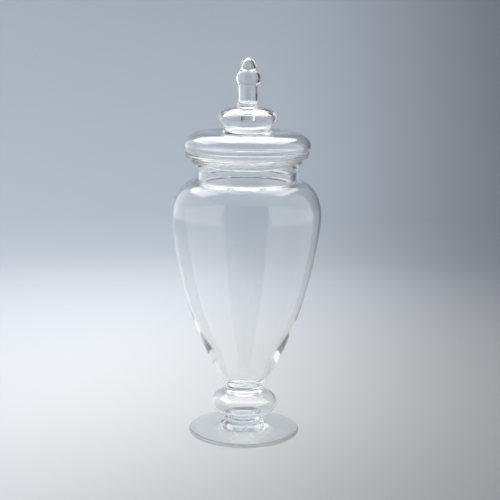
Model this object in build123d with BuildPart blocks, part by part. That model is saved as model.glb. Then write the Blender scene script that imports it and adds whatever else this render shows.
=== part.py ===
"""Footed apothecary jar of clear blown glass, with a lift-off lid in two tiers.

The jar is built up from separate gathers of glass, one above the other: foot, stem
collar, hollow knop, wafer and bowl. The lid is a hollow dome, a hollow button above
it and a hollow finial. Gathers that are fused together meet face to face. Every
piece is turned about the vertical axis, from a half outline in the XZ plane.

The origin is the centre of the ring that the foot stands on, and +Z points up.
"""

import os
from math import asin, cos, degrees, radians, tan

from build123d import *

os.makedirs("parts", exist_ok=True)

# Lengths are in mm, and heights are above the surface that the jar stands on.

# Joints between the gathers
FOOT_TOP = 13.0
COLLAR_TOP = 20.8
KNOP_TOP = 52.0
WAFER_TOP = 57.5
DOME_DISH = 360.5                # the button stands in the dished top of the dome
BUTTON_TOP = 396.4               # the stem of the finial stands on the button
FINIAL_TOP = 453.1

WALL = 3.0                       # of the neck, the lip, and the seat and skirt of the lid

# Foot: a spun disc, slightly hollow underneath
FOOT_RADIUS = 67.4
FOOT_RIM = (65.6, 3.4)           # where its top meets the rounded rim
FOOT_EDGE = 1.4                  # height of the widest part of the rim
FOOT_BASE = 66.5                 # outer radius of the ring that it stands on
FOOT_RING = 58.0                 # inner radius of the ring that it stands on
FOOT_HOLLOW = 4.5                # rise of the hollow at the middle
FOOT_SLOPE = (44.0, 6.4)         # a point on its concave top
FOOT_JOINT = 22.0
FOOT_HOLLOW_FALL = (1, -0.12)    # direction of the hollow at the ring
FOOT_RIM_RISE = (-1, 0.05)       # directions of the concave top, at the rim and the collar
FOOT_JOINT_RISE = (-1, 0.65)

# Stem collar: a ring of glass between the foot and the knop
COLLAR_RING = (23.6, 15.4)
COLLAR_SHOULDER = (22.0, 18.4)
COLLAR_SPREAD = (1, 0.6)         # direction of its side at the foot
COLLAR_CLOSE = (-0.3, 1)         # direction of its side at the knop

# Knop: a flattened ball with a bubble sealed inside
KNOP_RADIUS = 41.0
KNOP_WIDEST = 36.0
KNOP_RISE = 19.5                 # of its upper half, before the wafer cuts it off
KNOP_DROP = 17.0                 # of its lower half, before the collar cuts it off
BUBBLE_RADIUS = 38.4
BUBBLE_TOP = 50.4
BUBBLE_BOTTOM = 23.6
BUBBLE_FULLNESS = 0.66           # fuller than an ellipse, so that its wall stays thin

# Wafer between the knop and the bowl
WAIST_RADIUS = 22.0
WAFER_FOOT = (-3, 1)             # direction of its side where it leaves the knop
BOWL_RISE = (0.6, 1)             # direction of its side and the bowl's where they meet

# Bowl: height, outer radius and inner radius up its tapered side
BOWL_FLOOR = (13.8, 60.6)        # where its flat floor starts to turn up
BOWL_FLOOR_TURN = (16.6, 62.4)   # where the turn meets the inner side
BOWL_FLOOR_RISE = (0.7, 1)       # direction of the inner side there
BOWL_SIDE = [
    (66.0, 27.8, 20.2),
    (84.0, 38.4, 31.8),
    (116.0, 52.7, 48.9),
    (152.0, 66.2, 63.9),
    (200.0, 79.2, 77.0),
    (244.0, 87.2, 84.9),
]
BOWL_RADIUS = 89.4
BOWL_INSIDE = 87.1
BOWL_WIDEST = 268.0
SHOULDER_TOP = 309.5             # the shoulder is a quarter of an ellipse
SHOULDER_END = 61.3              # radius where it turns up into the neck
NECK_RADIUS = 58.8
NECK_TOP = 320.7
CREASE_RADIUS = 1.5              # where the neck turns out into the flared mouth
FLARE_ANGLE = 32.0               # from the vertical
FLARE_LENGTH = 11.9

# Lid dome: a hollow tier, dished on top, with a sloping seat and a skirt below
DOME_RADIUS = 75.4
DOME_WIDEST = 351.0
DOME_CREST = (50.0, 367.3)
DOME_WALL = 3.0
DISH_RADIUS = 31.0
DISH_RISE = (1, 0.4)             # direction of the top, out from the button's foot
FLANGE_SIDE = (73.4, 343.5)      # where the side turns in, towards the flange
FLANGE_RADIUS = 71.9
FLANGE_ROUND = 2.4
SEAT_ANGLE = 20.0                # rise of the seat, outwards
SEAT_INSIDE = 66.5               # radius where the seat's inner face ends
SEAT_FILLET = 2.0
LID_GAP = 0.3                    # play between the seat and the lip
SKIRT_RADIUS = 54.6
SKIRT_BOTTOM = 327.0

# Button: a hollow tier with a spread foot and a narrow waist
BUTTON_WAIST = (26.6, 369.0)
BUTTON_FLARE = (32.4, 378.4)
BUTTON_WIDEST = (34.5, 383.4)
BUTTON_SHOULDER = (31.2, 390.2)
BUTTON_CROWN = (20.2, 395.0)
BUTTON_FOOT_LEAN = (-0.6, 1)     # direction of its side at the dish
BUTTON_TOP_RISE = (-1, 0.2)      # direction of its top at the stem
BUTTON_INSIDE_WIDEST = (31.7, 383.0)
BUTTON_INSIDE_WAIST = (23.8, 369.6)
BUTTON_FLOOR = (15.0, 364.0)
BUTTON_CEILING = 393.2

# Finial: hollow stem, ring and pointed tip, and a solid spigot inside the button
SPIGOT_RADIUS = 8.7
SPIGOT_BOTTOM = 383.5
STEM_FOOT = 13.6
STEM_FOOT_LEAN = (-0.5, 1)       # direction of its side at the button
STEM_WAIST = (12.2, 411.0)
STEM_TOP = (11.7, 421.8)
RING_EDGE = (15.6, 429.6)
GROOVE = (10.2, 437.7)
TIP_BASE = (10.8, 439.0)
TIP_SIDE = (9.5, 444.4)
TIP_NOSE = (6.2, 450.2)
STEM_BORE = 9.4
STEM_BORE_BOTTOM = 398.6
RING_BORE = (12.1, 429.6)
TIP_BORE = (7.7, 439.6)
TIP_BORE_TOP = 450.0

AXIS_UP = (0, 1)
AXIS_DOWN = (0, -1)
OUTWARDS = (1, 0)
INWARDS = (-1, 0)
KAPPA = 4 / 3 * (2**0.5 - 1)     # fullness of a cubic that follows a quarter of an ellipse


def save(piece, name):
    """Label a finished piece and write it as its own STEP file."""
    piece.part.label = name
    export_step(piece.part, f"parts/{name}.step")


def smooth(*points, start, end):
    """Smooth curve through points, with its directions at the two ends."""
    return Spline(*points, tangents=[start, end], tangent_scalars=[1, 1])


def quarter_oval(start, corner, end, fullness):
    """Cubic along a quarter of an oval, from start to end, that bulges to a corner."""
    start, corner, end = Vector(*start), Vector(*corner), Vector(*end)
    return Bezier(
        start, start + (corner - start) * fullness, end + (corner - end) * fullness, end
    )


# Foot
with BuildPart() as foot:
    with BuildSketch(Plane.XZ):
        with BuildLine():
            smooth((0, FOOT_HOLLOW), (FOOT_RING, 0), start=OUTWARDS, end=FOOT_HOLLOW_FALL)
            Line((FOOT_RING, 0), (FOOT_BASE, 0))
            ThreePointArc((FOOT_BASE, 0), (FOOT_RADIUS, FOOT_EDGE), FOOT_RIM)
            smooth(
                FOOT_RIM, FOOT_SLOPE, (FOOT_JOINT, FOOT_TOP),
                start=FOOT_RIM_RISE, end=FOOT_JOINT_RISE,
            )
            Polyline((FOOT_JOINT, FOOT_TOP), (0, FOOT_TOP), (0, FOOT_HOLLOW))
        make_face()
    revolve(axis=Axis.Z)
save(foot, "foot")

# Stem collar
knop_base = KNOP_RADIUS * cos(asin((KNOP_WIDEST - COLLAR_TOP) / KNOP_DROP))
with BuildPart() as stem_collar:
    with BuildSketch(Plane.XZ):
        with BuildLine():
            smooth(
                (FOOT_JOINT, FOOT_TOP), COLLAR_RING, COLLAR_SHOULDER, (knop_base, COLLAR_TOP),
                start=COLLAR_SPREAD, end=COLLAR_CLOSE,
            )
            Polyline(
                (knop_base, COLLAR_TOP), (0, COLLAR_TOP), (0, FOOT_TOP), (FOOT_JOINT, FOOT_TOP)
            )
        make_face()
    revolve(axis=Axis.Z)
save(stem_collar, "stem_collar")

# Knop
base_turn = asin((COLLAR_TOP - KNOP_WIDEST) / KNOP_DROP)
top_turn = asin((KNOP_TOP - KNOP_WIDEST) / KNOP_RISE)
knop_top = KNOP_RADIUS * cos(top_turn)
with BuildPart() as knop:
    with BuildSketch(Plane.XZ):
        with BuildLine():
            EllipticalCenterArc(
                (0, KNOP_WIDEST), KNOP_RADIUS, KNOP_DROP,
                degrees(base_turn), arc_size=-degrees(base_turn),
            )
            EllipticalCenterArc(
                (0, KNOP_WIDEST), KNOP_RADIUS, KNOP_RISE, 0, arc_size=degrees(top_turn)
            )
            Polyline((knop_top, KNOP_TOP), (0, KNOP_TOP), (0, COLLAR_TOP), (knop_base, COLLAR_TOP))
        make_face()
    revolve(axis=Axis.Z)
    with BuildSketch(Plane.XZ):
        with BuildLine():
            for end_height in (BUBBLE_BOTTOM, BUBBLE_TOP):
                quarter_oval(
                    (0, end_height), (BUBBLE_RADIUS, end_height), (BUBBLE_RADIUS, KNOP_WIDEST),
                    BUBBLE_FULLNESS,
                )
                Line((0, end_height), (0, KNOP_WIDEST))
        make_face()
    revolve(axis=Axis.Z, mode=Mode.SUBTRACT)
save(knop, "knop")

# Wafer
with BuildPart() as wafer:
    with BuildSketch(Plane.XZ):
        with BuildLine():
            smooth((knop_top, KNOP_TOP), (WAIST_RADIUS, WAFER_TOP), start=WAFER_FOOT, end=BOWL_RISE)
            Polyline(
                (WAIST_RADIUS, WAFER_TOP), (0, WAFER_TOP), (0, KNOP_TOP), (knop_top, KNOP_TOP)
            )
        make_face()
    revolve(axis=Axis.Z)
save(wafer, "wafer")

# Bowl
with BuildPart() as bowl:
    with BuildSketch(Plane.XZ):
        with BuildLine():
            smooth(
                (WAIST_RADIUS, WAFER_TOP),
                *[(outer, height) for height, outer, inner in BOWL_SIDE],
                (BOWL_RADIUS, BOWL_WIDEST),
                start=BOWL_RISE, end=AXIS_UP,
            )
            EllipticalCenterArc(
                (SHOULDER_END, BOWL_WIDEST),
                BOWL_RADIUS - SHOULDER_END, SHOULDER_TOP - BOWL_WIDEST, 0, arc_size=90,
            )
            turn_up = JernArc(
                (SHOULDER_END, SHOULDER_TOP), INWARDS, SHOULDER_END - NECK_RADIUS, -90
            )
            neck = Line(turn_up @ 1, (NECK_RADIUS, NECK_TOP))
            crease = JernArc(neck @ 1, AXIS_UP, CREASE_RADIUS, -FLARE_ANGLE)
            flare = PolarLine(crease @ 1, FLARE_LENGTH, direction=crease % 1)
            lip = JernArc(flare @ 1, flare % 1, WALL / 2, 180)
            flare_inside = PolarLine(lip @ 1, FLARE_LENGTH, direction=lip % 1)
            crease_inside = JernArc(
                flare_inside @ 1, flare_inside % 1, CREASE_RADIUS + WALL, FLARE_ANGLE
            )
            turn_height = SHOULDER_TOP + SHOULDER_END - NECK_RADIUS
            neck_inside = Line(crease_inside @ 1, (NECK_RADIUS - WALL, turn_height))
            turn_inside = JernArc(
                neck_inside @ 1, AXIS_DOWN, SHOULDER_END - NECK_RADIUS + WALL, 90
            )
            EllipticalCenterArc(
                (SHOULDER_END, BOWL_WIDEST),
                BOWL_INSIDE - SHOULDER_END, SHOULDER_TOP - WALL - BOWL_WIDEST, 0, arc_size=90,
            )
            smooth(
                BOWL_FLOOR_TURN,
                *[(inner, height) for height, outer, inner in BOWL_SIDE],
                (BOWL_INSIDE, BOWL_WIDEST),
                start=BOWL_FLOOR_RISE, end=AXIS_UP,
            )
            smooth(BOWL_FLOOR, BOWL_FLOOR_TURN, start=OUTWARDS, end=BOWL_FLOOR_RISE)
            Polyline(
                BOWL_FLOOR, (0, BOWL_FLOOR[1]), (0, WAFER_TOP), (WAIST_RADIUS, WAFER_TOP)
            )
        make_face()
    revolve(axis=Axis.Z)
save(bowl, "bowl")

# Lid dome
lip_middle = (lip @ 0 + lip @ 1) / 2


def seat_height(radius):
    """Height of the lid's sloping seat, which lies just clear of the bowl's lip."""
    above_lip = (WALL / 2 + LID_GAP) / cos(radians(SEAT_ANGLE))
    return lip_middle.Y + above_lip + (radius - lip_middle.X) * tan(radians(SEAT_ANGLE))


with BuildPart() as lid_dome:
    with BuildSketch(Plane.XZ):
        with BuildLine():
            crest_radius, crest_height = DOME_CREST
            smooth((DISH_RADIUS, DOME_DISH), DOME_CREST, start=DISH_RISE, end=OUTWARDS)
            EllipticalCenterArc(
                (crest_radius, DOME_WIDEST),
                DOME_RADIUS - crest_radius, crest_height - DOME_WIDEST, 0, arc_size=90,
            )
            flange_corner = (FLANGE_RADIUS, seat_height(FLANGE_RADIUS))
            side_radius, side_height = FLANGE_SIDE
            smooth(
                (DOME_RADIUS, DOME_WIDEST), FLANGE_SIDE, start=AXIS_DOWN,
                end=(FLANGE_RADIUS - side_radius, flange_corner[1] - side_height),
            )
            skirt_end = SKIRT_BOTTOM + WALL / 2
            FilletPolyline(
                FLANGE_SIDE, flange_corner, (SKIRT_RADIUS, seat_height(SKIRT_RADIUS)),
                (SKIRT_RADIUS, skirt_end), radius=[FLANGE_ROUND, SEAT_FILLET],
            )
            JernArc((SKIRT_RADIUS, skirt_end), AXIS_DOWN, WALL / 2, -180)
            skirt_inside = SKIRT_RADIUS - WALL
            seat_rise = WALL / cos(radians(SEAT_ANGLE))
            seat_inside = (SEAT_INSIDE, seat_height(SEAT_INSIDE) + seat_rise)
            FilletPolyline(
                (skirt_inside, skirt_end), (skirt_inside, seat_height(skirt_inside) + seat_rise),
                seat_inside, radius=SEAT_FILLET + WALL,
            )
            smooth(
                seat_inside, (DOME_RADIUS - DOME_WALL, DOME_WIDEST),
                start=(1, tan(radians(SEAT_ANGLE))), end=AXIS_UP,
            )
            EllipticalCenterArc(
                (crest_radius, DOME_WIDEST),
                DOME_RADIUS - DOME_WALL - crest_radius, crest_height - DOME_WALL - DOME_WIDEST,
                0, arc_size=90,
            )
            smooth(
                (DISH_RADIUS, DOME_DISH - DOME_WALL), (crest_radius, crest_height - DOME_WALL),
                start=DISH_RISE, end=OUTWARDS,
            )
            Polyline(
                (DISH_RADIUS, DOME_DISH - DOME_WALL), (0, DOME_DISH - DOME_WALL),
                (0, DOME_DISH), (DISH_RADIUS, DOME_DISH),
            )
        make_face()
    revolve(axis=Axis.Z)
save(lid_dome, "lid_dome")

# Lid button
with BuildPart() as lid_button:
    with BuildSketch(Plane.XZ):
        with BuildLine():
            smooth((DISH_RADIUS, DOME_DISH), BUTTON_WAIST, start=BUTTON_FOOT_LEAN, end=AXIS_UP)
            smooth(
                BUTTON_WAIST, BUTTON_FLARE, BUTTON_WIDEST, BUTTON_SHOULDER, BUTTON_CROWN,
                (STEM_FOOT, BUTTON_TOP),
                start=AXIS_UP, end=BUTTON_TOP_RISE,
            )
            Polyline(
                (STEM_FOOT, BUTTON_TOP), (SPIGOT_RADIUS, BUTTON_TOP),
                (SPIGOT_RADIUS, BUTTON_CEILING),
            )
            smooth(
                (SPIGOT_RADIUS, BUTTON_CEILING), BUTTON_INSIDE_WIDEST, BUTTON_INSIDE_WAIST,
                BUTTON_FLOOR,
                start=OUTWARDS, end=INWARDS,
            )
            floor_height = BUTTON_FLOOR[1]
            Polyline(BUTTON_FLOOR, (0, floor_height), (0, DOME_DISH), (DISH_RADIUS, DOME_DISH))
        make_face()
    revolve(axis=Axis.Z)
save(lid_button, "lid_button")

# Finial
with BuildPart() as finial:
    with BuildSketch(Plane.XZ):
        with BuildLine():
            Polyline(
                (0, SPIGOT_BOTTOM), (SPIGOT_RADIUS, SPIGOT_BOTTOM), (SPIGOT_RADIUS, BUTTON_TOP),
                (STEM_FOOT, BUTTON_TOP),
            )
            smooth((STEM_FOOT, BUTTON_TOP), STEM_WAIST, STEM_TOP, start=STEM_FOOT_LEAN, end=AXIS_UP)
            ThreePointArc(STEM_TOP, RING_EDGE, GROOVE)
            Line(GROOVE, TIP_BASE)
            smooth(TIP_BASE, TIP_SIDE, TIP_NOSE, (0, FINIAL_TOP), start=AXIS_UP, end=INWARDS)
            Line((0, FINIAL_TOP), (0, SPIGOT_BOTTOM))
        make_face()
    revolve(axis=Axis.Z)
    with BuildSketch(Plane.XZ):
        with BuildLine():
            bore_start = STEM_BORE_BOTTOM + STEM_BORE / 2
            stem_top_height = STEM_TOP[1]
            quarter_oval(
                (0, STEM_BORE_BOTTOM), (STEM_BORE, STEM_BORE_BOTTOM), (STEM_BORE, bore_start),
                KAPPA,
            )
            Line((STEM_BORE, bore_start), (STEM_BORE, stem_top_height - WALL))
            smooth(
                (STEM_BORE, stem_top_height - WALL), RING_BORE, TIP_BORE, (0, TIP_BORE_TOP),
                start=AXIS_UP, end=INWARDS,
            )
            Line((0, TIP_BORE_TOP), (0, STEM_BORE_BOTTOM))
        make_face()
    revolve(axis=Axis.Z, mode=Mode.SUBTRACT)
save(finial, "finial")
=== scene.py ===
"""Looks of the footed apothecary jar: clear blown glass on a pale sweep, in soft studio light.

Each CAD node is a body of revolution. It is replaced by a finely turned mesh of the same
outline, because a lens needs a smooth surface, and the outline is fitted to the node's box.
The sweep stands all round the jar, and two parts of its wall glow as soft side lights, so
that the glass has something bright and something dim to show from every side.
"""

from math import asin, cos, degrees, pi, radians, sin, tan

import bpy
import numpy as np
from mathutils import Matrix, Vector


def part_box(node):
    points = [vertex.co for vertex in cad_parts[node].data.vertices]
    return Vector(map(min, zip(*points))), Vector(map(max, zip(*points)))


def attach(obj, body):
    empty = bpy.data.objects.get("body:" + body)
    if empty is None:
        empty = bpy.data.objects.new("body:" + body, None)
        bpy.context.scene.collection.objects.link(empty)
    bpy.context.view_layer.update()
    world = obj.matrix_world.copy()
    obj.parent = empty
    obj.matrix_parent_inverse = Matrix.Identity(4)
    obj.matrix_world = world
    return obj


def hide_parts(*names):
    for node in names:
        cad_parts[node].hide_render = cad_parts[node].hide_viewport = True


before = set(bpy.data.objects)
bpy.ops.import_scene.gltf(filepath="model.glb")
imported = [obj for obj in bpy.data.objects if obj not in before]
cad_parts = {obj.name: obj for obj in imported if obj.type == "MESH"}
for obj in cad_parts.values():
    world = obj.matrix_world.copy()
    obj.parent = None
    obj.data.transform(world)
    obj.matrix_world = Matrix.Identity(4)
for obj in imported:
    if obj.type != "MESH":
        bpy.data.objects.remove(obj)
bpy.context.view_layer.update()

MM = 0.001
SIDES = 192                      # faces round each turned piece
SHARP = radians(25)              # a turn of the outline that stays a hard edge

UP, DOWN, OUT, IN = (0, 1), (0, -1), (1, 0), (-1, 0)

# Lengths and heights in mm, heights above the floor

# Joints between the gathers
FOOT_TOP, COLLAR_TOP, KNOP_TOP, WAFER_TOP = 13, 20.8, 52, 57.5
DISH_HEIGHT, BUTTON_TOP, FINIAL_TOP = 360.5, 396.4, 453.1
FOOT_JOINT, WAIST_RADIUS, DISH_RADIUS, STEM_FOOT = 22, 22, 31, 13.6
BOWL_RISE = (0.6, 1)             # direction of the side where the wafer meets the bowl

WALL = 3                         # of the neck, the lip and the lid

# Knop and its bubble
KNOP_RADIUS, KNOP_WIDEST, KNOP_RISE, KNOP_DROP = 41, 36, 19.5, 17
KNOP_BASE_TURN = asin((KNOP_WIDEST - COLLAR_TOP) / KNOP_DROP)
KNOP_TOP_TURN = asin((KNOP_TOP - KNOP_WIDEST) / KNOP_RISE)
KNOP_BASE = KNOP_RADIUS * cos(KNOP_BASE_TURN)
KNOP_CUT = KNOP_RADIUS * cos(KNOP_TOP_TURN)
BUBBLE_RADIUS, BUBBLE_TOP, BUBBLE_BOTTOM = 38.4, 50.4, 23.6
BUBBLE_FULLNESS = 0.66

# Bowl: height, outer radius and inner radius up its side, then shoulder, neck and flared lip
BOWL_SIDE = [
    (66, 27.8, 20.2), (84, 38.4, 31.8), (116, 52.7, 48.9),
    (152, 66.2, 63.9), (200, 79.2, 77.0), (244, 87.2, 84.9),
]
BOWL_FLOOR, BOWL_FLOOR_TURN, BOWL_FLOOR_FALL = (13.8, 60.6), (16.6, 62.4), (-0.7, -1)
BOWL_RADIUS, BOWL_INSIDE, BOWL_WIDEST = 89.4, 87.1, 268
SHOULDER_END, SHOULDER_TOP = 61.3, 309.5
NECK_RADIUS, NECK_TOP = 58.8, 320.7
CREASE_RADIUS = 1.5
FLARE_ANGLE, FLARE_LENGTH = 32, 11.9
FLARE = (sin(radians(FLARE_ANGLE)), cos(radians(FLARE_ANGLE)))
LIP_MIDDLE = (
    NECK_RADIUS + CREASE_RADIUS + FLARE_LENGTH * FLARE[0] - (CREASE_RADIUS + WALL / 2) * FLARE[1],
    NECK_TOP + FLARE_LENGTH * FLARE[1] + (CREASE_RADIUS + WALL / 2) * FLARE[0],
)

# Lid: dome with its seat and skirt, button, finial
DOME_RADIUS, DOME_WIDEST = 75.4, 351
CREST_RADIUS, CREST_HEIGHT = 50, 367.3
DISH_RISE = (1, 0.4)
FLANGE_SIDE, FLANGE_RADIUS, FLANGE_ROUND = (73.4, 343.5), 71.9, 2.4
SEAT_ANGLE, SEAT_INSIDE, SEAT_FILLET = radians(20), 66.5, 2
LID_GAP = 0.3
SKIRT_RADIUS, SKIRT_BOTTOM = 54.6, 327
BUTTON_WAIST, BUTTON_CEILING = (26.6, 369), 393.2
SPIGOT_RADIUS, SPIGOT_BOTTOM = 8.7, 383.5
STEM_TOP, STEM_BORE, STEM_BORE_BOTTOM = (11.7, 421.8), 9.4, 398.6
GROOVE, TIP_BASE = (10.2, 437.7), (10.8, 439)


# ---- Outlines: (radius, height) in mm, from the axis and back to it ----

def smooth(*points, start, end, step=1.2):
    """Smooth curve through points, with its directions at the two ends."""
    points = np.array(points, float)
    ends = [np.array(d, float) / np.hypot(*d) for d in (start, end)]
    gaps = np.hypot(*np.diff(points, axis=0).T)
    count = len(points)
    matrix, rhs = np.eye(count), np.zeros((count, 2))
    rhs[0], rhs[-1] = ends
    for i in range(1, count - 1):
        before, after = gaps[i - 1], gaps[i]
        matrix[i, i - 1 : i + 2] = 1 / before, 2 / before + 2 / after, 1 / after
        rhs[i] = 3 * (points[i] - points[i - 1]) / before**2
        rhs[i] += 3 * (points[i + 1] - points[i]) / after**2
    slopes = np.linalg.solve(matrix, rhs)
    path = [points[:1]]
    for i, gap in enumerate(gaps):
        t = np.linspace(0, 1, max(3, int(gap / step)) + 1)[1:, None]
        path.append(
            (2 * t**3 - 3 * t**2 + 1) * points[i] + (t**3 - 2 * t**2 + t) * gap * slopes[i]
            + (3 * t**2 - 2 * t**3) * points[i + 1] + (t**3 - t**2) * gap * slopes[i + 1]
        )
    return np.concatenate(path)


def arc(centre, radii, start, end, count=24):
    """Elliptical arc between two angles in degrees."""
    turn = np.radians(np.linspace(start, end, count + 1))
    return np.stack([centre[0] + radii[0] * np.cos(turn), centre[1] + radii[1] * np.sin(turn)], 1)


def quarter_oval(start, corner, end, fullness, count=60):
    """Cubic along a quarter of an oval, from start to end, that bulges to a corner."""
    start, corner, end = (np.array(p, float) for p in (start, corner, end))
    leave, arrive = start + (corner - start) * fullness, end + (corner - end) * fullness
    t = np.linspace(0, 1, count + 1)[:, None]
    return (
        (1 - t)**3 * start + 3 * (1 - t)**2 * t * leave + 3 * (1 - t) * t**2 * arrive + t**3 * end
    )


def turn(path, angle, radius, count=12):
    """Arc that carries on from the end of a path, through an angle, left if positive."""
    path = np.array(path, float)
    along = path[-1] - path[-2]
    along /= np.hypot(*along)
    side = np.sign(angle) * np.array([-along[1], along[0]])
    swing = np.radians(np.linspace(0, abs(angle), count + 1))[:, None]
    return path[-1] + radius * (side * (1 - np.cos(swing)) + along * np.sin(swing))


def ahead(path, length):
    """Straight line that carries on from the end of a path."""
    along = path[-1] - path[-2]
    return np.stack([path[-1], path[-1] + along / np.hypot(*along) * length])


def fillet(before, corner, after, radius, count=10):
    """Points of an outline's rounded corner."""
    before, corner, after = (np.array(p, float) for p in (before, corner, after))
    arm_a = (before - corner) / np.hypot(*(before - corner))
    arm_b = (after - corner) / np.hypot(*(after - corner))
    half = np.arccos(arm_a @ arm_b) / 2
    middle = (arm_a + arm_b) / np.hypot(*(arm_a + arm_b))
    centre = corner + middle * radius / sin(half)
    first, last = corner + arm_a * radius / tan(half), corner + arm_b * radius / tan(half)
    sweep = np.linspace(0, 1, count + 1)[:, None]
    spread = (first - centre) * (1 - sweep) + (last - centre) * sweep
    return centre + spread * radius / np.hypot(*spread.T)[:, None]


def through(first, middle, last, count=32):
    """Circular arc through three points."""
    (ax, ay), (bx, by), (cx, cy) = first, middle, last
    matrix = 2 * np.array([[bx - ax, by - ay], [cx - ax, cy - ay]])
    squares = np.array([bx**2 + by**2 - ax**2 - ay**2, cx**2 + cy**2 - ax**2 - ay**2])
    centre = np.linalg.solve(matrix, squares)
    spokes = [np.array(point) - centre for point in (first, middle, last)]
    angles = np.unwrap([np.arctan2(y, x) for x, y in spokes])
    radius = np.hypot(ax - centre[0], ay - centre[1])
    return arc(centre, (radius, radius), degrees(angles[0]), degrees(angles[2]), count)


# Foot, stem collar, knop and wafer

def foot_outline():
    rim = [(66.5, 0), (67.1, 0.5), (67.4, 1.4), (67.1, 2.4), (66.4, 3.1), (65.6, 3.4)]
    top, inwards = [rim[-1], (44, 6.4), (FOOT_JOINT, FOOT_TOP)], (-1, 0.05)
    return [
        (smooth((0, 4.5), (58, 0), start=OUT, end=(1, -0.12)), "glass"),
        (smooth(*rim, start=(1, 0.2), end=inwards, step=0.3), "glass"),
        (smooth(*top, start=inwards, end=(-1, 0.65)), "glass"),
        ([top[-1], (0, FOOT_TOP)], "joint"),
    ]


def collar_outline():
    side = [(FOOT_JOINT, FOOT_TOP), (23.6, 15.4), (22, 18.4), (KNOP_BASE, COLLAR_TOP)]
    return [
        ([(0, FOOT_TOP), side[0]], "joint"),
        (smooth(*side, start=(1, 0.6), end=(-0.3, 1), step=0.4), "glass"),
        ([side[-1], (0, COLLAR_TOP)], "joint"),
    ]


def knop_outline():
    centre = (0, KNOP_WIDEST)
    return [
        ([(0, COLLAR_TOP), (KNOP_BASE, COLLAR_TOP)], "joint"),
        (arc(centre, (KNOP_RADIUS, KNOP_DROP), -degrees(KNOP_BASE_TURN), 0, 60), "glass"),
        (arc(centre, (KNOP_RADIUS, KNOP_RISE), 0, degrees(KNOP_TOP_TURN), 60), "glass"),
        ([(KNOP_CUT, KNOP_TOP), (0, KNOP_TOP)], "joint"),
    ]


def knop_bubble():
    side = (BUBBLE_RADIUS, KNOP_WIDEST)
    upper = (0, BUBBLE_TOP), (BUBBLE_RADIUS, BUBBLE_TOP), side
    lower = side, (BUBBLE_RADIUS, BUBBLE_BOTTOM), (0, BUBBLE_BOTTOM)
    return [(quarter_oval(*half, BUBBLE_FULLNESS), "glass") for half in (upper, lower)]


def wafer_outline():
    side = [(KNOP_CUT, KNOP_TOP), (WAIST_RADIUS, WAFER_TOP)]
    return [
        ([(0, KNOP_TOP), side[0]], "joint"),
        (smooth(*side, start=(-3, 1), end=BOWL_RISE, step=0.4), "glass"),
        ([side[-1], (0, WAFER_TOP)], "joint"),
    ]


# Bowl

def bowl_outline():
    outer = [(radius, height) for height, radius, _ in BOWL_SIDE]
    inner = [(radius, height) for height, _, radius in reversed(BOWL_SIDE)]
    foot, widest = (WAIST_RADIUS, WAFER_TOP), (BOWL_RADIUS, BOWL_WIDEST)
    centre, rise = (SHOULDER_END, BOWL_WIDEST), SHOULDER_TOP - BOWL_WIDEST
    corner_radius = SHOULDER_END - NECK_RADIUS
    neck_foot = SHOULDER_TOP + corner_radius

    outside = smooth(foot, *outer, widest, start=BOWL_RISE, end=UP, step=2)
    shoulder = arc(centre, (BOWL_RADIUS - SHOULDER_END, rise), 0, 90, 60)
    shoulder_end = [(SHOULDER_END + 1, SHOULDER_TOP), (SHOULDER_END, SHOULDER_TOP)]
    corner = turn(shoulder_end, -90, corner_radius)
    neck = np.array([(NECK_RADIUS, neck_foot), (NECK_RADIUS, NECK_TOP)])
    crease = turn(neck, -FLARE_ANGLE, CREASE_RADIUS)
    flare = ahead(crease, FLARE_LENGTH)
    lip = turn(flare, 180, WALL / 2, 24)
    flare_inside = ahead(lip, FLARE_LENGTH)
    crease_inside = turn(flare_inside, FLARE_ANGLE, CREASE_RADIUS + WALL)
    neck_inside = np.array([crease_inside[-1], (NECK_RADIUS - WALL, neck_foot)])
    corner_inside = turn(neck_inside, 90, corner_radius + WALL, 24)
    shoulder_inside = arc(centre, (BOWL_INSIDE - SHOULDER_END, rise - WALL), 90, 0, 60)
    side = [(BOWL_INSIDE, BOWL_WIDEST), *inner, BOWL_FLOOR_TURN]
    inside = smooth(*side, start=DOWN, end=BOWL_FLOOR_FALL, step=2)
    floor_turn = smooth(BOWL_FLOOR_TURN, BOWL_FLOOR, start=BOWL_FLOOR_FALL, end=IN, step=0.3)
    walls = [
        outside, shoulder, corner, neck, crease, flare, lip, flare_inside, crease_inside,
        neck_inside, corner_inside, shoulder_inside, inside, floor_turn,
        [BOWL_FLOOR, (0, BOWL_FLOOR[1])],
    ]
    return [([(0, WAFER_TOP), foot], "joint"), *[(wall, "glass") for wall in walls]]


# Lid

def seat(radius, above=0):
    """Point of the lid's sloping seat at a radius, just clear of the bowl's lip."""
    clear = (WALL / 2 + LID_GAP) / cos(SEAT_ANGLE)
    return radius, LIP_MIDDLE[1] + clear + (radius - LIP_MIDDLE[0]) * tan(SEAT_ANGLE) + above


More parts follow.
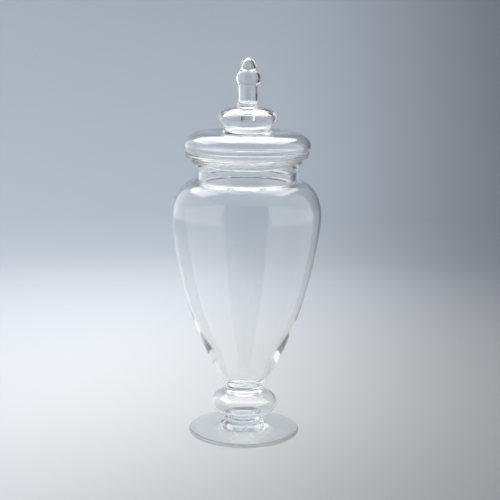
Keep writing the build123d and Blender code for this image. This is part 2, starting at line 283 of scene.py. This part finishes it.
def dome_outline():
    across, rise = DOME_RADIUS - CREST_RADIUS, CREST_HEIGHT - DOME_WIDEST
    centre, inner_rise = (CREST_RADIUS, DOME_WIDEST), WALL / cos(SEAT_ANGLE)
    dish_edge, dish_crest = (DISH_RADIUS, DISH_HEIGHT), (CREST_RADIUS, CREST_HEIGHT)
    dish_floor = (DISH_RADIUS, DISH_HEIGHT - WALL)
    flange, seat_foot = seat(FLANGE_RADIUS), seat(SKIRT_RADIUS)
    skirt_inside = SKIRT_RADIUS - WALL
    skirt_foot = (SKIRT_RADIUS, SKIRT_BOTTOM + WALL / 2)
    inner_foot, inner_corner = (skirt_inside, skirt_foot[1]), seat(skirt_inside, inner_rise)
    inner_end = seat(SEAT_INSIDE, inner_rise)
    under = (flange[0] - FLANGE_SIDE[0], flange[1] - FLANGE_SIDE[1])

    flange_turn = fillet(FLANGE_SIDE, flange, seat_foot, FLANGE_ROUND, 16)
    seat_turn = fillet(flange, seat_foot, skirt_foot, SEAT_FILLET)
    inner_turn = fillet(inner_foot, inner_corner, inner_end, SEAT_FILLET + WALL)
    inner_dish = smooth(
        dish_floor, (CREST_RADIUS, CREST_HEIGHT - WALL), start=DISH_RISE, end=OUT
    )
    walls = [
        smooth(dish_edge, dish_crest, start=DISH_RISE, end=OUT),
        arc(centre, (across, rise), 90, 0, 48),
        smooth((DOME_RADIUS, DOME_WIDEST), FLANGE_SIDE, start=DOWN, end=under),
        flange_turn,
        np.array([flange_turn[-1], seat_turn[0]]),
        seat_turn,
        np.array([seat_turn[-1], skirt_foot]),
        turn([(SKIRT_RADIUS, skirt_foot[1] + 1), skirt_foot], -180, WALL / 2, 24),
        np.array([inner_foot, inner_turn[0]]),
        inner_turn,
        np.array([inner_turn[-1], inner_end]),
        smooth(inner_end, (DOME_RADIUS - WALL, DOME_WIDEST), start=(1, tan(SEAT_ANGLE)), end=UP),
        arc(centre, (across - WALL, rise - WALL), 0, 90, 48),
        inner_dish[::-1],
        [dish_floor, (0, DISH_HEIGHT - WALL)],
    ]
    return [([(0, DISH_HEIGHT), dish_edge], "joint"), *[(wall, "glass") for wall in walls]]


def button_outline():
    edge, ceiling = (DISH_RADIUS, DISH_HEIGHT), (SPIGOT_RADIUS, BUTTON_CEILING)
    stem_foot = (STEM_FOOT, BUTTON_TOP)
    side = [BUTTON_WAIST, (32.4, 378.4), (34.5, 383.4), (31.2, 390.2), (20.2, 395), stem_foot]
    inside = [ceiling, (31.7, 383), (23.8, 369.6), (15, 364)]
    return [
        ([(0, DISH_HEIGHT), edge], "joint"),
        (smooth(edge, BUTTON_WAIST, start=(-0.6, 1), end=UP, step=0.5), "glass"),
        (smooth(*side, start=UP, end=(-1, 0.2), step=0.6), "glass"),
        ([stem_foot, (SPIGOT_RADIUS, BUTTON_TOP), ceiling], "joint"),
        (smooth(*inside, start=OUT, end=IN, step=0.6), "glass"),
        ([inside[-1], (0, inside[-1][1])], "glass"),
    ]


def finial_outline():
    ceiling, stem_foot = (SPIGOT_RADIUS, BUTTON_CEILING), (STEM_FOOT, BUTTON_TOP)
    tip = [TIP_BASE, (9.5, 444.4), (6.2, 450.2), (0, FINIAL_TOP)]
    return [
        ([(0, SPIGOT_BOTTOM), (SPIGOT_RADIUS, SPIGOT_BOTTOM), ceiling], "glass"),
        ([ceiling, (SPIGOT_RADIUS, BUTTON_TOP), stem_foot], "joint"),
        (smooth(stem_foot, (12.2, 411), STEM_TOP, start=(-0.5, 1), end=UP), "glass"),
        (through(STEM_TOP, (15.6, 429.6), GROOVE), "glass"),
        ([GROOVE, TIP_BASE], "glass"),
        (smooth(*tip, start=UP, end=IN, step=0.4), "glass"),
    ]


def finial_bore():
    top, rise = (STEM_BORE, STEM_TOP[1] - WALL), STEM_BORE / 2
    foot = (0, STEM_BORE_BOTTOM + rise)
    dome = smooth(top, (12.1, 429.6), (7.7, 439.6), (0, 450), start=UP, end=IN, step=0.5)
    return [
        (dome[::-1], "glass"),
        ([top, (STEM_BORE, foot[1])], "glass"),
        (arc(foot, (STEM_BORE, rise), 0, -90, 32), "glass"),
    ]


# ---- Materials ----

def new_material(name):
    """A material with its node tree, and with the tree's Principled shader."""
    material = bpy.data.materials.new(name)
    material.use_nodes = True
    return material, material.node_tree, material.node_tree.nodes["Principled BSDF"]


def add(tree, kind, feeds=None, values=None, **settings):
    """A shader node with its settings, its inputs' values and the sockets that feed it."""
    node = tree.nodes.new("ShaderNode" + kind)
    for name, value in settings.items():
        setattr(node, name, value)
    for key, value in (values or {}).items():
        node.inputs[key].default_value = value
    for key, socket in (feeds or {}).items():
        tree.links.new(socket, node.inputs[key])
    return node.outputs[0]


def ramp_between(tree, feed, low, high, ends=(0, 1)):
    """Colour ramp from one colour to another."""
    colour = add(tree, "ValToRGB", {"Fac": feed})
    for element, place, shade in zip(colour.node.color_ramp.elements, ends, (low, high)):
        element.position, element.color = place, (*shade, 1)
    return colour


def object_place(tree):
    """Socket that gives the place on the object, in metres."""
    coordinates = tree.nodes.new("ShaderNodeTexCoord")
    return coordinates.outputs["Object"]


GLASS_TINT, GLASS_DARKER = (0.992, 0.996, 0.995), 0.004
GLASS_RIPPLE = 0.02 * MM
SHADOW_TINT = (0.985, 0.99, 0.99, 1)


def glass_material():
    """Clear blown glass: faint ripple, faint change of tint, and shadows that let light by."""
    material, tree, glass = new_material("clear_glass")
    glass.inputs["Transmission Weight"].default_value = 1
    glass.inputs["Roughness"].default_value = 0
    glass.inputs["IOR"].default_value = 1.5
    where = object_place(tree)
    cloud = add(tree, "TexNoise", {"Vector": where}, {"Scale": 9, "Detail": 2})
    darker = [value - GLASS_DARKER for value in GLASS_TINT]
    tint = ramp_between(tree, cloud, darker, GLASS_TINT, (0.3, 0.7))
    tree.links.new(tint, glass.inputs["Base Color"])
    wave = add(tree, "TexNoise", {"Vector": where}, {"Scale": 30, "Detail": 1})
    ripple = add(tree, "Bump", {"Height": wave}, {"Strength": 1, "Distance": GLASS_RIPPLE})
    tree.links.new(ripple, glass.inputs["Normal"])
    clear = add(tree, "BsdfTransparent", values={"Color": SHADOW_TINT})
    path = tree.nodes.new("ShaderNodeLightPath")
    rays = {0: path.outputs["Is Shadow Ray"], 1: path.outputs["Is Diffuse Ray"]}
    passing = add(tree, "Math", rays, operation="MAXIMUM")
    mix = add(tree, "MixShader", {"Fac": passing, 1: glass.outputs["BSDF"], 2: clear})
    tree.links.new(mix, tree.nodes["Material Output"].inputs["Surface"])
    return material


def joint_material():
    """Where two gathers are fused there is no surface, so the face inside them doesn't show."""
    material, tree, shader = new_material("fused_joint")
    tree.nodes.remove(shader)
    clear = add(tree, "BsdfTransparent", values={"Color": (1, 1, 1, 1)})
    tree.links.new(clear, tree.nodes["Material Output"].inputs["Surface"])
    return material


# ---- Turned pieces ----

def joined(outline):
    """One path from an outline's lengths, with the kind of surface of each of its steps."""
    path, kinds = [], []
    for length, kind in outline:
        for point in np.array(length, float):
            if path and np.hypot(*(point - path[-1])) < 1e-4:
                continue
            if path:
                kinds.append(kind)
            path.append(point)
    return np.array(path), kinds


def turned(name, node, body, outlines, material, joint):
    """Turns a node's outlines about Z, the solid's first and then its sealed hollow's."""
    lengths = [joined(outline) for outline in outlines]
    solid = lengths[0][0]
    low, high = (np.array(corner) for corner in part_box(node))
    widen = (high[0] - low[0]) / 2 / solid[:, 0].max()
    bottom, top = solid[:, 1].min(), solid[:, 1].max()
    stretch = (high[2] - low[2]) / (top - bottom)
    points, faces, slots, hard = [], [], [], []
    angles = np.linspace(0, 2 * pi, SIDES, endpoint=False)
    ring = np.stack([np.cos(angles), np.sin(angles)], 1)
    for hollow, (path, kinds) in enumerate(lengths):
        radii, heights = path.T
        area = np.sum(radii[:-1] * heights[1:] - radii[1:] * heights[:-1])
        if (area > 0) == bool(hollow):
            path, kinds = path[::-1], kinds[::-1]
        steps = np.diff(path, axis=0)
        turns = np.arctan2(*steps.T[::-1])
        rows = []
        for radius, height in path:
            radius, height = radius * widen, low[2] + (height - bottom) * stretch
            start = len(points)
            if radius < 1e-7:
                points.append((0, 0, height))
                rows.append([start] * SIDES)
            else:
                points.extend((radius * x, radius * y, height) for x, y in ring)
                rows.append(list(range(start, start + SIDES)))
        for k, kind in enumerate(kinds):
            below, above = rows[k], rows[k + 1]
            for i in range(SIDES):
                j = (i + 1) % SIDES
                corners = [below[i], below[j], above[j], above[i]]
                faces.append(list(dict.fromkeys(corners)))
                slots.append(0 if kind == "glass" else 1)
            if k:
                bend = abs((turns[k] - turns[k - 1] + pi) % (2 * pi) - pi)
                if bend > SHARP and below[0] != below[1]:
                    around = below[1:] + below[:1]
                    hard.extend(frozenset(edge) for edge in zip(below, around))
    mesh = bpy.data.meshes.new(name)
    mesh.from_pydata(points, [], faces)
    mesh.materials.append(material)
    mesh.materials.append(joint)
    mesh.polygons.foreach_set("material_index", slots)
    mesh.polygons.foreach_set("use_smooth", [True] * len(faces))
    hard = set(hard)
    for edge in mesh.edges:
        if frozenset(edge.vertices) in hard:
            edge.use_edge_sharp = True
    mesh.update()
    piece = bpy.data.objects.new(name, mesh)
    bpy.context.scene.collection.objects.link(piece)
    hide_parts(node)
    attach(piece, body)


glass, joint = glass_material(), joint_material()
PIECES = {
    "foot": ("jar", [foot_outline()]),
    "stem_collar": ("jar", [collar_outline()]),
    "knop": ("jar", [knop_outline(), knop_bubble()]),
    "wafer": ("jar", [wafer_outline()]),
    "bowl": ("jar", [bowl_outline()]),
    "lid_dome": ("lid", [dome_outline()]),
    "lid_button": ("lid", [button_outline()]),
    "finial": ("lid", [finial_outline(), finial_bore()]),
}
for node, (body, outlines) in PIECES.items():
    turned(f"{node}_glass", node, body, outlines, glass, joint)


# ---- Floor and backdrop ----

# Paper of a grey-blue tone, with painted light from near the jar to far from it (white near,
# darker far), and painted shade across it towards one side
PAPER_PAINTED_LIGHT_NEAR, PAPER_PAINTED_SHADE_FAR, PAINTED_LIGHT_REACH = (0.71, 0.715, 0.715), (0.38, 0.425, 0.475), (0.1, 1.35)
PAINTED_SHADE_DIRECTION, PAINTED_SHADE_REACH, PAINTED_SHADE_LEVEL = (1, -0.2, 0), (-0.35, 0.5), 0.37

# Panels of the sweep's wall that glow as painted light, as soft side lights: bearing from the
# front, half width in degrees, and glow
PANELS = [(-91, 54, 0.76), (78, 41, 0.68)]
PANEL_EDGE, PANEL_LIFT = 2, 0.12  # softness of their sides in degrees, and of their foot in m
PANEL_COLOUR = (1, 0.97, 0.95, 1)


def map_range(tree, feed, reach, limits=(0, 1), kind="SMOOTHSTEP"):
    """Socket of a value that goes from one limit to the other over a reach."""
    values = dict(zip(("From Min", "From Max", "To Min", "To Max"), (*reach, *limits)))
    return add(tree, "MapRange", {"Value": feed}, values, interpolation_type=kind)


def panel_glow(tree, where):
    """Glow of the sweep's wall: two panels by bearing, which fade out down to the floor."""
    level = add(tree, "VectorMath", {0: where}, {1: (1, 1, 0)}, operation="MULTIPLY")
    bearing = add(tree, "VectorMath", {0: level}, operation="NORMALIZE")
    glows = {}
    for index, (middle, half, glow) in enumerate(PANELS):
        aim = (sin(radians(middle)), -cos(radians(middle)), 0)
        facing = add(tree, "VectorMath", {0: bearing}, {1: aim}, operation="DOT_PRODUCT")
        dot = facing.node.outputs["Value"]
        edges = [cos(radians(half + PANEL_EDGE)), cos(radians(half - PANEL_EDGE))]
        glows[index] = map_range(tree, dot, edges, (0, glow))
    both = add(tree, "Math", glows, operation="ADD")
    split = add(tree, "SeparateXYZ", {"Vector": where})
    lift = map_range(tree, split.node.outputs["Z"], (0, PANEL_LIFT))
    return add(tree, "Math", {0: both, 1: lift}, operation="MULTIPLY")


def sweep_material():
    """Pale grey-blue paper with painted light: white by the jar, darker further off and to one
    side by painted shade, and two panels that glow as painted light.
    """
    material, tree, paper = new_material("pale_sweep")
    paper.inputs["Roughness"].default_value = 0.85
    where = object_place(tree)
    far = add(tree, "VectorMath", {0: where}, operation="LENGTH")
    # painted light: the paper's colour is white near the jar and falls to its darker grey-blue
    # further off
    reach = map_range(tree, far.node.outputs["Value"], PAINTED_LIGHT_REACH, kind="LINEAR")
    shade = ramp_between(tree, reach, PAPER_PAINTED_LIGHT_NEAR, PAPER_PAINTED_SHADE_FAR)
    # painted shade: the paper's colour darkens towards one side, where less light falls
    across = add(tree, "VectorMath", {0: where}, {1: PAINTED_SHADE_DIRECTION}, operation="DOT_PRODUCT")
    side = map_range(tree, across.node.outputs["Value"], PAINTED_SHADE_REACH, (1, PAINTED_SHADE_LEVEL))
    fade = add(tree, "VectorMath", {0: shade, "Scale": side}, operation="SCALE")
    tree.links.new(fade, paper.inputs["Base Color"])
    # painted glow: the paper gives off light in two panels, as soft side lights
    paper.inputs["Emission Color"].default_value = PANEL_COLOUR
    tree.links.new(panel_glow(tree, where), paper.inputs["Emission Strength"])
    grain = add(tree, "TexNoise", {"Vector": where}, {"Scale": 400})
    tooth = add(tree, "Bump", {"Height": grain}, {"Strength": 0.05, "Distance": 0.2 * MM})
    tree.links.new(tooth, paper.inputs["Normal"])
    return material


def sweep(radius=1.75, cove=0.65, height=1.8):
    """A round sweep: flat floor, then a cove that rises into a wall on all sides."""
    path = [(0, 0), (0.3, 0), (0.8, 0), (radius - cove, 0)]
    path += [tuple(p) for p in arc((radius - cove, cove), (cove, cove), -90, 0, 24)[1:]]
    path.append((radius, height))
    points, faces, sides = [], [], 96
    for r, z in path:
        for i in range(sides):
            points.append((r * cos(2 * pi * i / sides), r * sin(2 * pi * i / sides), z))
    for k in range(len(path) - 1):
        for i in range(sides):
            j = (i + 1) % sides
            a, b = k * sides, (k + 1) * sides
            faces.append((a + i, b + i, b + j, a + j))
    mesh = bpy.data.meshes.new("sweep")
    mesh.from_pydata(points, [], faces)
    mesh.polygons.foreach_set("use_smooth", [True] * len(faces))
    mesh.materials.append(sweep_material())
    floor = bpy.data.objects.new("sweep", mesh)
    bpy.context.scene.collection.objects.link(floor)


sweep()


def dark_card(name, angle, distance, size):
    """Black card off to one side of the jar, which only the glass picks up as a dark edge."""
    material, _, felt = new_material(name)
    felt.inputs["Base Color"].default_value = (0.01, 0.01, 0.012, 1)
    felt.inputs["Roughness"].default_value = 1
    felt.inputs["Specular IOR Level"].default_value = 0
    across, up = size[0] / 2, size[1]
    mesh = bpy.data.meshes.new(name)
    corners = [(-across, 0, 0), (across, 0, 0), (across, 0, up), (-across, 0, up)]
    mesh.from_pydata(corners, [], [(0, 1, 2, 3)])
    mesh.materials.append(material)
    card = bpy.data.objects.new(name, mesh)
    card.location = distance * sin(radians(angle)), distance * cos(radians(angle)), 0.25
    card.rotation_euler.z = -radians(angle)
    card.visible_camera = card.visible_diffuse = card.visible_shadow = False
    bpy.context.scene.collection.objects.link(card)


dark_card("dark_card", 48, 1.25, (0.5, 1.3))


# ---- Light ----

def soft_box(name, place, aim, size, power):
    """A rectangular soft box at a place, facing a point."""
    light = bpy.data.lights.new(name, "AREA")
    light.shape, (light.size, light.size_y) = "RECTANGLE", size
    light.energy = power
    lamp = bpy.data.objects.new(name, light)
    lamp.location = place
    lamp.rotation_euler = (Vector(aim) - Vector(place)).to_track_quat("-Z", "Y").to_euler()
    bpy.context.scene.collection.objects.link(lamp)


soft_box("top_box", (-0.2, 0.6, 1.2), (-0.2, 0.5, 0), (1.8, 1.1), 17)

world = bpy.data.worlds.new("room")
world.use_nodes = True
world.node_tree.nodes["Background"].inputs["Color"].default_value = (0.93, 0.965, 1, 1)
world.node_tree.nodes["Background"].inputs["Strength"].default_value = 0.66
bpy.context.scene.world = world


# ---- Camera: a standing view of the jar from the front, a little above ----

lens = bpy.data.cameras.new("camera")
lens.lens, lens.sensor_width = 85, 36
camera = bpy.data.objects.new("camera", lens)
camera.matrix_world = (
    Matrix.Translation((0.0049, -1.388, 0.495))
    @ Matrix.Rotation(radians(90 - 11), 4, "X")
    @ Matrix.Rotation(radians(0.763), 4, "Z")
)
scene = bpy.context.scene
scene.collection.objects.link(camera)
scene.camera = camera

scene.view_settings.view_transform = "Standard"
scene.cycles.max_bounces = 64
scene.cycles.transmission_bounces = 64
scene.cycles.glossy_bounces = 64
scene.cycles.transparent_max_bounces = 64
scene.cycles.caustics_reflective = False
scene.cycles.caustics_refractive = False
